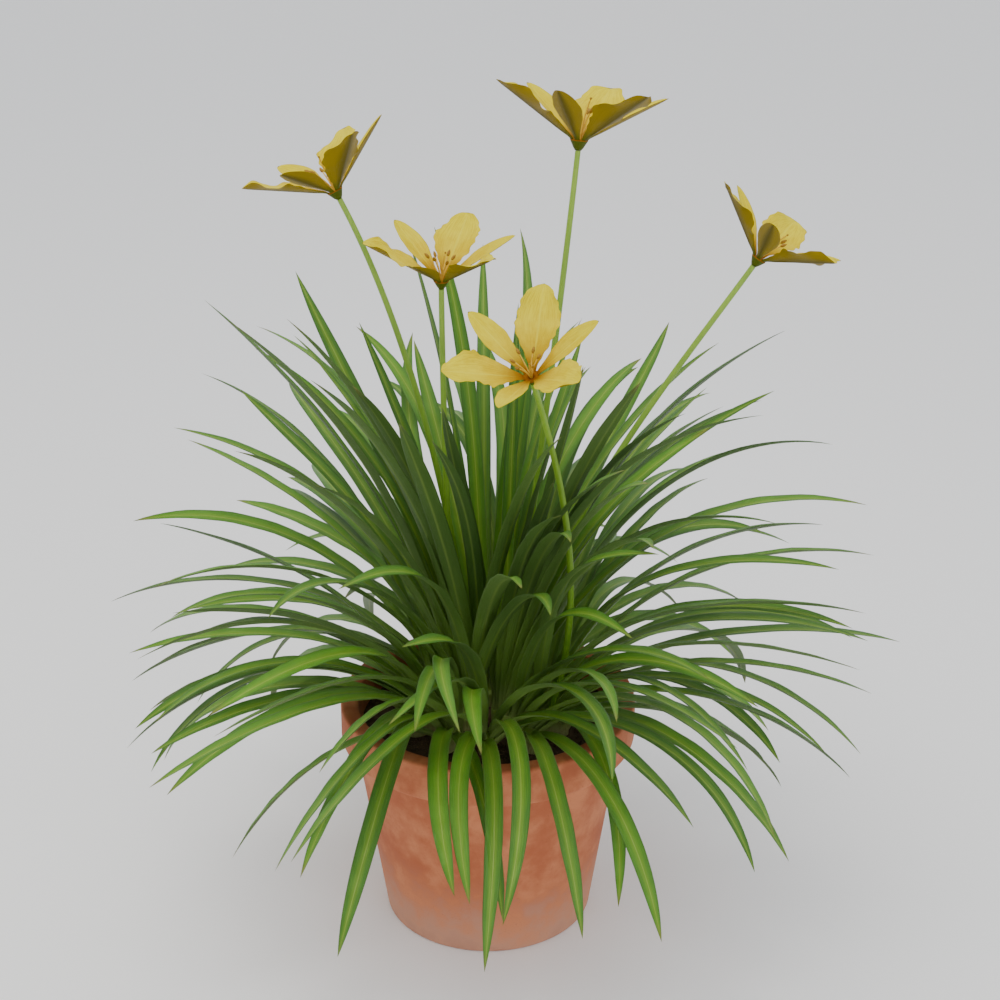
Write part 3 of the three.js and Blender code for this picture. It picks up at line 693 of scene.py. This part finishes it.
petal = Finish("petal_flesh", "#c9b400", 0.5)
petal.shader.inputs["Specular IOR Level"].default_value = 0.12
petal_along, petal_across, petal_above, petal_tone = skin_facts(petal)
petal_blotches, petal_grain = petal.mottle(55.0, 1500.0)
petal_veins = petal.ramp(
    veins(petal, petal_across, petal_along, petal_tone, (9.0, 2.2, 30.0), 3.0), 0.42, 0.62)
off_rib = petal.calc("ABSOLUTE", petal_across)
petal_face = petal.layered(
    petal.blend(petal.ramp(petal_along, 0.08, 0.95), "#c8a400", "#dcce06"),
    (petal_veins, 0.4, "#b08c00"),
    (petal_blotches, 0.4, "#e4d638"),
    (petal.ramp(off_rib, 0.09, 0.02), 0.6, "#ddd034"),
    # Deep gold at the throat: partly the throat's own gold, and partly painted shade deep in the cup.
    (petal.ramp(petal_along, 0.42, 0.02), 1.0, "#8c5600"))
# The backs: a darker olive painted on as shade, since they face away from the light overhead; darkest along
# the rib and towards the throat.
petal_back_painted_shade = petal.layered(
    petal.blend(petal.ramp(off_rib, 0.6, 0.0), "#8a7408", "#5c500e"),
    (petal.ramp(petal_along, 0.3, 0.02), 1.0, "#4c5610"))
# Face colour where the sheet faces up, and the painted-shade back colour where it faces down.
petal.coat(petal.blend(petal.ramp(petal_above, -0.2, 0.2), petal_back_painted_shade, petal_face),
           petal.plus(petal_veins, petal.times(petal_grain, 0.5)), 0.35, 0.0004)

for number, scape in enumerate(SCAPES):
    parts = [throat_part()]
    for k in range(6):
        kind = SEPAL if k % 2 else PETAL
        parts.append(tepal_part(kind, 1.3 * k + number, BLOOM["first_petal"] + 60 * k))
    parts = [(on_stem(scape, corners), faces, facts) for corners, faces, facts in parts]
    bloom = assembled(f"bloom_{number + 1}_petals", parts, petal.material)
    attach(bloom, "root")
    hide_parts(f"bloom_{number + 1}")


# The stamens: six slender threads and one longer style rise from the throat and curve outwards. Each thread
# carries a loose, mealy anther at its end, and the style ends in a small knob.
STAMENS = {"count": 6, "length": 28, "lengths": (0.88, 1.1), "turns": (-12, 12), "floor": 5.3, "radius": 0.62,
           "taper": (1.15, 0.85), "steps": 20, "overlap": 0.04, "anther_radius": 1.45, "anther_from": 0.8,
           "corners": 8, "first_seed": 90}
STYLE = {"azimuth": 285, "length": 36, "end_radius": 0.93, "end_from": 0.95, "tone": 0.9}
END_SWELL = np.array([0.25, 0.7, 0.95, 1, 1, 0.95, 0.8, 0.55, 0.2])


def seeded_draws(seed):
    """Even draws between two values, the same ones each time for a seed."""
    state = (seed * 2654435761) % 4294967296

    def draw(low, high):
        nonlocal state
        state = (state * 1664525 + 1013904223) % 4294967296
        share = state / 4294967296
        return (1 - share) * low + share * high

    return draw


def thread_lines(azimuth, length, end_radius, end_from, tone):
    """A thread and what it ends in, as two lines in a bloom's own frame."""
    floor, steps = STAMENS["floor"], STAMENS["steps"]
    thin = np.linspace(*STAMENS["taper"], steps) * STAMENS["radius"]
    poles = np.array([(0.5, 0, floor + 1), (length * 0.12, 0, floor + length * 0.55),
                      (length * 0.5, 0, floor + length)])
    lines = []
    for shares, radii, role in (
            (np.linspace(0, end_from + STAMENS["overlap"], steps), thin, 0.0),
            (np.linspace(end_from, 1, len(END_SWELL)), end_radius * END_SWELL, 1.0)):
        t = shares[:, None]
        places = (1 - t) ** 2 * poles[0] + 2 * t * (1 - t) * poles[1] + t * t * poles[2]
        along = 2 * (1 - t) * (poles[1] - poles[0]) + 2 * t * (poles[2] - poles[1])
        along /= np.linalg.norm(along, axis=1)[:, None]
        side = np.tile([0.0, 1.0, 0.0], (len(shares), 1))
        turned_about = {"points": places, "side": side, "face": np.cross(along, side)}
        lines.append({key: rows @ about_axis(azimuth) for key, rows in turned_about.items()}
                     | {"wide": radii, "deep": radii, "crease": 0.0, "along": role, "tone": tone})
    return lines


anther = Finish("stamen_and_pollen", "#b98a1c", 0.62)
anther_role = attribute(anther, "along")
anther_blotches, anther_grain = anther.mottle(300.0, 2500.0)
mealy = anther.blend(anther.ramp(anther_grain, 0.4, 0.62), "#7a5a10", "#c09020")
silky = anther.blend(anther_blotches, "#e3c14a", "#d2a936")
anther.coat(anther.blend(anther.ramp(anther_role, 0.4, 0.6), silky, mealy),
            anther.times(anther_grain, anther_role), 0.9, 0.0006)

for number, scape in enumerate(SCAPES):
    draw = seeded_draws(STAMENS["first_seed"] + number)
    lines = []
    for k in range(STAMENS["count"]):
        length = STAMENS["length"] * draw(*STAMENS["lengths"])
        azimuth = k * 60 + draw(*STAMENS["turns"])
        lines += thread_lines(azimuth, length, STAMENS["anther_radius"], STAMENS["anther_from"], k / 6)
    lines += thread_lines(**STYLE)
    for line in lines:
        line["points"] = on_stem(scape, line["points"])
        line["side"], line["face"] = (line[key] @ bloom_frame(scape).T for key in ("side", "face"))
        line["wide"], line["deep"] = (line[key] * scape["size"] for key in ("wide", "deep"))
    stamens = swept(f"stamens_{number + 1}_threads", lines, anther.material, STAMENS["corners"])
    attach(stamens, "root")
    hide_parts(f"stamens_{number + 1}")


# The leaf fans: five inner and eleven outer fans, each of strap-shaped leaves in two rows that clasp one
# another at a pale crown. A leaf is folded along its middle, rises, arches and ends in a point. It is mid
# green with a soft yellow-green band, fine parallel veins, a thin pale margin and a duller back.
OUTER_FANS = {"name": "outer_fan", "count": 11, "first_azimuth": 8.2, "leaves": 11, "seed": 3,
              "root_near": 46, "root_far": 82, "flare": 6, "launch": (73, 60),
              "end": (4, -60), "length": (388, 280), "bend": (1, 0.5), "reach": 300, "spread": 45,
              "sections": (0, 6, 13, 20, 28, 36)}
INNER_FANS = {"name": "inner_fan", "count": 5, "first_azimuth": 18, "leaves": 15, "seed": 40,
              "root_near": 9, "root_far": 39, "flare": 1, "launch": (86, 75),
              "end": (72, 0), "length": (420, 430), "bend": (1.5, 1.15), "reach": 220, "spread": 60,
              "sections": (0, 9, 18, 27, 36)}
LEAF = {"widest": 0.36, "taper": 2.6, "tip_taper": 4.6, "thickness": 1.3, "tip_thins": 6, "root_fold": 52,
        "open_fold": 20, "root_rise": 3.0, "root_margins": (4, 5), "steps": 36, "corners": 12, "ripple": 0.05,
        "ripples": 34.0, "tries": 400, "batch": 24, "gap": 0.6, "lowest_tip": -90, "tone_seed": 500}
LEAF_DRAWS = {"place": (0.3, 0.7), "across": (0.42, 0.52), "aim": (0, 1), "veer": (-40, 40),
              "launch": (-3, 1), "end": (-16, 16), "bend": (0.85, 1.4), "length": (0.84, 1.1),
              "half_width": (7.4, 9.6), "roll": (-40, 40)}
CROSSING = {"first_step": 2, "beside": 0.9, "along": 8, "face": 2.6}
RIM_CLEARANCE = {"from": 18, "over": 6, "over_soil": 2, "past": 8}
CROWN = {"half_width": 8.5, "rise": 15, "heights": (-24, 0, 5, 10, 13, 14.4, 15), "widest": 1.06, "margin": 1,
         "corners": 40, "swell": (0.92, 1, 1.03, 1.05, 1.04, 0.96, 0.7)}


def leaf_half(share, taper):
    """How wide a leaf is at a share of its length, against its widest."""
    swell = 0.62 + 0.38 * np.sin(math.pi / 2 * np.minimum(1, share / LEAF["widest"]))
    past = np.maximum(0, (share - LEAF["widest"]) / (1 - LEAF["widest"]))
    return swell * (1 - past ** taper)


def leaf_fold(share):
    opened = smooth_step(share, 0, 0.25)
    return np.radians(LEAF["root_fold"] + (LEAF["open_fold"] - LEAF["root_fold"]) * opened)


def leaf_paths(leaf):
    """The paths of several leaves, step by step: a climb runs from launch to end while a heading veers."""
    share = np.linspace(0, 1, LEAF["steps"] + 1)[None, :]
    launch, end, bend, heading, veer, roll, length, half_width = (leaf[key][:, None] for key in (
        "launch", "end", "bend", "heading", "veer", "roll", "length", "half_width"))
    climb = np.radians(launch + (end - launch) * share ** bend)
    turn = np.radians(heading + veer * share * share)
    along = np.stack([np.cos(climb) * np.cos(turn), np.cos(climb) * np.sin(turn), np.sin(climb)], axis=-1)
    level = np.stack([np.sin(turn), -np.cos(turn), np.zeros_like(turn)], axis=-1)
    rolled = np.radians(roll * share)[..., None]
    side = level * np.cos(rolled) + np.cross(along, level) * np.sin(rolled)
    face = np.cross(side, along)
    strides = along * (length / LEAF["steps"])[..., None]
    at = np.concatenate([leaf["root"][:, None, :], strides[:, :-1]], axis=1).cumsum(axis=1)
    half = half_width * leaf_half(share, LEAF["taper"])
    lifted = at + face * (half * np.sin(leaf_fold(share)))[..., None]
    reach = side * (half * np.cos(leaf_fold(share)))[..., None]
    return {"at": at, "along": along, "side": side, "face": face, "half": half,
            "left": lifted - reach, "right": lifted + reach}


def blade_boxes(paths, sections):
    """The blades as rows of thin boxes, one a step, straight from one section to the next."""
    ends = np.array(sections)
    step = np.arange(LEAF["steps"])
    following = np.searchsorted(ends, step, side="right")
    first, last = ends[following - 1], ends[following]
    share = ((step + 0.5 - first) / (last - first))[:, None]
    tip = (last == LEAF["steps"])[:, None]

    def corner(key):
        end = np.where(tip, paths["at"][:, last], paths[key][:, last])
        return paths[key][:, first] * (1 - share) + end * share

    groove, left, right = corner("at"), corner("left"), corner("right")
    across, edges = (right - left) / 2, (left + right) / 2
    along = (paths["at"][:, last] - paths["at"][:, first]) * (0.5 / (last - first))[:, None]
    through = np.cross(across, along)
    depth = (LEAF["thickness"] + np.linalg.norm(edges - groove, axis=-1, keepdims=True)) / 2
    through *= depth / np.linalg.norm(through, axis=-1, keepdims=True)
    return boxed((groove + edges) / 2, np.stack([along, across, through], axis=-2))


def boxed(middle, halves):
    lengths = np.linalg.norm(halves, axis=-1)
    return {"middle": middle, "halves": halves, "axes": halves / lengths[..., None],
            "radius": np.linalg.norm(lengths, axis=-1)}


def meets(one, other):
    """Whether any box of one row leaves less than the gap to any box of the other."""
    low = (one["middle"] - one["radius"][:, None]).min(axis=0) - LEAF["gap"]
    high = (one["middle"] + one["radius"][:, None]).max(axis=0) + LEAF["gap"]
    reach = other["radius"][:, None]
    close = np.all((other["middle"] + reach > low) & (other["middle"] - reach < high), axis=1)
    other = {key: value[close] for key, value in other.items()}
    offset = other["middle"][None] - one["middle"][:, None]
    limit = one["radius"][:, None] + other["radius"][None] + LEAF["gap"]
    mine, theirs = np.nonzero((offset ** 2).sum(axis=-1) <= limit ** 2)
    offset = offset[mine, theirs]
    axes = np.concatenate([one["axes"][mine], other["axes"][theirs]], axis=1)
    reach = sum(np.abs(np.einsum("pkc,pac->pka", row["halves"][pick], axes)).sum(axis=1)
                for row, pick in ((one, mine), (other, theirs)))
    between = np.abs(np.einsum("pc,pac->pa", offset, axes))
    return bool(np.any(np.all(between < reach + LEAF["gap"], axis=1)))


def crosses(paths, pick, grown):
    """Whether a leaf would cross one of its own fan's leaves past the crown that they share."""
    if not grown:
        return False
    first = CROSSING["first_step"]
    here = {key: value[pick][first:] for key, value in paths.items()}
    there = {key: np.concatenate([path[key][first:] for path in grown]) for key in ("at", "half")}
    offset = there["at"][None] - here["at"][:, None]
    gap = {key: np.abs(np.einsum("sec,sc->se", offset, here[key])) for key in ("along", "face", "side")}
    beside = gap["side"] < CROSSING["beside"] * (here["half"][:, None] + there["half"][None])
    return bool(np.any((gap["along"] < CROSSING["along"]) & (gap["face"] < CROSSING["face"]) & beside))


def apart(middles, points, least):
    """Whether every middle of a row is farther than the least distance from every point."""
    squares = (middles ** 2).sum(axis=-1)[..., None] + (points ** 2).sum(axis=-1) - 2 * middles @ points.T
    least = np.broadcast_to(least[..., None] if np.ndim(least) == 2 else least, squares.shape)
    return np.all(squares > least ** 2, axis=(-2, -1))


def clears_pot(boxes):
    """Whether each row of boxes keeps over the soil and the rim, and past it above the lowest tip."""
    x, y, z = np.moveaxis(boxes["middle"], -1, 0)
    radius = np.hypot(x, y)
    over_rim = POT["height"] - CROWN_LEVEL + RIM_CLEARANCE["over"]
    floor = np.where(radius > POT["rim_radius"] - RIM_CLEARANCE["from"], over_rim, RIM_CLEARANCE["over_soil"])
    past_rim = radius > POT["rim_radius"] + RIM_CLEARANCE["past"]
    return np.all(z > np.where(past_rim, LEAF["lowest_tip"], floor), axis=-1)


def drawn_leaves(fan, number, shares):
    """Tries at a leaf, ten even draws each. Leaves stand in two rows, and each aims to its row's side."""
    drawn = {name: (1 - share) * low + share * high
             for (name, (low, high)), share in zip(LEAF_DRAWS.items(), shares.T)}
    place = (number + drawn["place"]) / fan["leaves"]

    def between(first, last):
        return (1 - place) * first + place * last

    row = 1 if number % 2 else -1
    outward, across, upward = about_axis(fan["azimuth"])
    out = between(fan["root_near"] + LEAF["root_margins"][0], fan["root_far"] - LEAF["root_margins"][1])
    beside = row * drawn["across"] * CROWN["half_width"]
    root = out[:, None] * outward + beside[:, None] * across + upward * LEAF["root_rise"]
    aim = np.radians(fan["azimuth"] + row * drawn["aim"] * fan["spread"])
    goal_x, goal_y = np.cos(aim) * fan["reach"] - root[:, 0], np.sin(aim) * fan["reach"] - root[:, 1]
    return {"root": root, "heading": np.degrees(np.arctan2(goal_y, goal_x)) - drawn["veer"] / 3,
            "veer": drawn["veer"], "launch": between(*fan["launch"]) + drawn["launch"],
            "end": between(*fan["end"]) + drawn["end"], "bend": between(*fan["bend"]) * drawn["bend"],
            "length": between(*fan["length"]) * drawn["length"],
            "half_width": drawn["half_width"], "roll": drawn["roll"]}


def crown_box(fan):
    outward, across, upward = about_axis(fan["azimuth"])
    near, far, rise = fan["root_near"], fan["root_far"] + fan["flare"], upward * CROWN["rise"] / 2
    halves = [outward * ((far - near) / 2 + CROWN["margin"]),
              across * CROWN["widest"] * CROWN["half_width"], rise]
    return boxed((outward * (near + far) / 2 + rise)[None], np.array([halves]))


def grow_fan(fan, others, stem_points, bloom_places):
    """The paths of a fan's leaves, innermost first. A leaf that would meet something is drawn again."""
    draw = seeded_draws(fan["seed"])
    shares = np.array([draw(0.0, 1.0) for _ in range(10 * LEAF["tries"] * fan["leaves"])]).reshape(-1, 10)
    grown, boxes, used = [], [], 0
    for number in range(fan["leaves"]):
        found, tried = None, 0
        while found is None and tried < LEAF["tries"]:
            count = min(LEAF["batch"], LEAF["tries"] - tried)
            paths = leaf_paths(drawn_leaves(fan, number, shares[used + tried:used + tried + count]))
            blades = blade_boxes(paths, fan["sections"])
            wide = np.linalg.norm(blades["halves"][:, :, 1], axis=-1)
            clear = clears_pot(blades)
            clear &= apart(blades["middle"], stem_points, wide + SCAPE["root_radius"] + LEAF["gap"])
            clear &= apart(blades["middle"], bloom_places[:, :3], bloom_places[:, 3])
            for pick in np.nonzero(clear)[0]:
                blade = {key: value[pick] for key, value in blades.items()}
                if not crosses(paths, pick, grown) and not meets(blade, others):
                    found = {key: value[pick] for key, value in paths.items()}
                    boxes.append(blade)
                    tried += int(pick) + 1
                    break
            else:
                tried += count
        used += tried
        if found is not None:
            grown.append(found)
    return grown, boxes


def grown_fans():
    """All fans in order, each grown clear of the crowns of all and of the leaves of the fans before it."""
    fans = [{**tier, "name": f"{tier['name']}_{k + 1:02d}", "seed": tier["seed"] + k,
             "azimuth": tier["first_azimuth"] + k * 360 / tier["count"]}
            for tier in (INNER_FANS, OUTER_FANS) for k in range(tier["count"])]
    stem_points = np.concatenate([scape_curve(scape, np.linspace(0, 1, SCAPE["kept_clear"]))[0]
                                  for scape in SCAPES])
    bloom_places = np.array([
        [*(np.array(scape["top"], float) + bloom_axis(scape["lean"]) * BLOOM["middle"] * scape["size"]),
         BLOOM["clear_radius"] * scape["size"]] for scape in SCAPES])
    boxes = {fan["name"]: [crown_box(fan)] for fan in fans}
    for fan in fans:
        near = [row for name, rows in boxes.items() if name != fan["name"] for row in rows]
        others = {key: np.concatenate([row[key] for row in near]) for key in near[0]}
        fan["paths"], blades = grow_fan(fan, others, stem_points, bloom_places)
        boxes[fan["name"]] += blades
    return fans


green = Finish("leaf_blade", "#4f8a26", 0.44)
leaf_along, leaf_across, leaf_above, leaf_tone = skin_facts(green)
leaf_blotches, leaf_grain = green.mottle(30.0, 1600.0)
leaf_fibres = green.ramp(veins(green, leaf_across, leaf_along, leaf_tone, (11.0, 5.0, 60.0), 2.4), 0.4, 0.62)
off_fold = green.calc("ABSOLUTE", leaf_across)
low_margin = green.times(green.ramp(off_fold, 0.88, 0.97), green.ramp(leaf_along, 0.75, 0.1))
leaf_face = green.layered(
    green.blend(leaf_tone, "#346812", "#5a961c"),
    (leaf_blotches, 0.3, "#326414"),
    (leaf_fibres, 0.4, "#74a428"),
    (green.ramp(off_fold, 0.6, 0.06), 0.4, "#90b02c"),
    (green.ramp(off_fold, 0.55, 0.9), 0.35, "#2e5a10"),
    (green.ramp(off_fold, 0.07, 0.02), 0.45, "#b2c85c"),
    (low_margin, 0.75, "#98ac60"))
leaf_back = green.layered(
    green.blend(leaf_tone, "#3e5c22", "#54722c"), (green.ramp(off_fold, 0.2, 0.02), 1.0, "#6a8238"))
leaf_colour = green.layered(
    green.blend(green.ramp(leaf_above, -0.15, 0.15), leaf_back, leaf_face),
    (green.ramp(leaf_along, 0.55, 0.05), 0.55, "#90b84c"),
    (green.ramp(leaf_along, 0.14, 0.0), 1.0, "#b4cc70"),
    (green.times(green.ramp(leaf_along, 0.93, 1.0), leaf_tone), 0.8, "#8a7a3a"))
green.coat(leaf_colour, green.plus(leaf_fibres, green.times(leaf_grain, 0.4)), 0.55, 0.0007)

sheath = Finish("crown_skin", "#b9c98a", 0.5)
sheath_lines = sheath.streaks(sheath.place, (700, 700, 30))
sheath_colour = sheath.layered(
    sheath.blend(attribute(sheath, "along"), "#b9c07c", "#7fa23e"),
    (sheath.ramp(sheath_lines, 0.48, 0.66), 0.45, "#8c8a48"))
sheath.coat(sheath_colour, sheath_lines, 0.45, 0.0008)

for fan in grown_fans():
    tones = seeded_draws(fan["seed"] + LEAF["tone_seed"])
    shares = np.linspace(0, 1, LEAF["steps"] + 1)
    folds = leaf_fold(shares)
    widths = leaf_half(shares, LEAF["tip_taper"])
    halves = [path["half"][0] / widths[0] * widths for path in fan["paths"]]
    lines = [{"points": path["at"], "side": -path["side"], "face": path["face"],
              "wide": half * np.cos(folds), "crease": half * np.sin(folds),
              "deep": LEAF["thickness"] / 2 * np.minimum(1, LEAF["tip_thins"] * (1 - shares)),
              "along": shares, "tone": tones(0.0, 1.0)} for path, half in zip(fan["paths"], halves)]
    blades = swept(f"{fan['name']}_leaves", lines, green.material, LEAF["corners"],
                   LEAF["ripple"], LEAF["ripples"])
    outward, across, upward = about_axis(fan["azimuth"])
    heights, swell = np.array(CROWN["heights"]), np.array(CROWN["swell"])
    risen = np.clip(heights / CROWN["rise"], 0, 1)
    outs = (fan["root_near"] + fan["root_far"]) / 2 + fan["flare"] * risen
    crown = swept(f"{fan['name']}_crown", [{
        "points": outward * outs[:, None] + upward * heights[:, None],
        "side": outward, "face": across,
        "wide": swell * (fan["root_far"] - fan["root_near"]) / 2, "deep": swell * CROWN["half_width"],
        "crease": 0.0, "along": risen, "tone": 0.5,
    }], sheath.material, CROWN["corners"])
    for grown_piece in (blades, crown):
        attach(grown_piece, "root")
        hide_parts(fan["name"])
